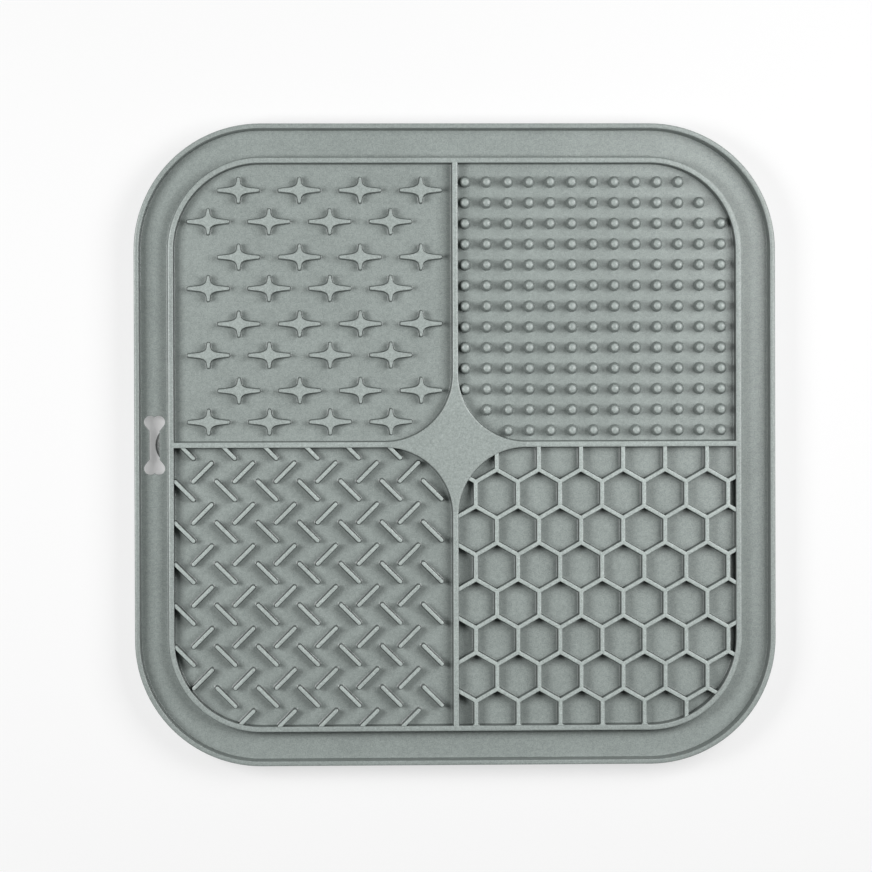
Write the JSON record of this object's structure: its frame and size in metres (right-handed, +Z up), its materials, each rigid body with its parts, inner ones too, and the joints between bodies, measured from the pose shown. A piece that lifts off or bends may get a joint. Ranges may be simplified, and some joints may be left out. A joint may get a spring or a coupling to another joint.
{
  "type": "lick mat",
  "caption": "Square soft tray with rounded corners, a run-off gutter, four textured pockets for spread food about a star-shaped pad, a hanging hole and suction cups underneath.",
  "frame": {"origin": "on the surface that the cups stand on, under the middle of the mat", "axes": "+Z up through the mat, +X and +Y along its straight edges, the hang hole on the -X side"},
  "size_m": [0.2, 0.2, 0.01],
  "materials": {
    "silicone": "matte, finely textured moulded silicone"
  },
  "bodies": {
    "root": {"outer_rim": "silicone", "gutter_floor": "silicone", "inner_rim": "silicone", "divider_north": "silicone", "divider_east": "silicone", "divider_south": "silicone", "divider_west": "silicone", "centre_pad": "silicone", "star_pocket_floor": "silicone", "nub_pocket_floor": "silicone", "herringbone_pocket_floor": "silicone", "honeycomb_pocket_floor": "silicone", "star_studs": "silicone", "round_nubs": "silicone", "rising_bars": "silicone", "falling_bars": "silicone", "honeycomb_upright_walls": "silicone", "honeycomb_rising_walls": "silicone", "honeycomb_falling_walls": "silicone", "suction_cups": "silicone"}
  },
  "joints": []
}
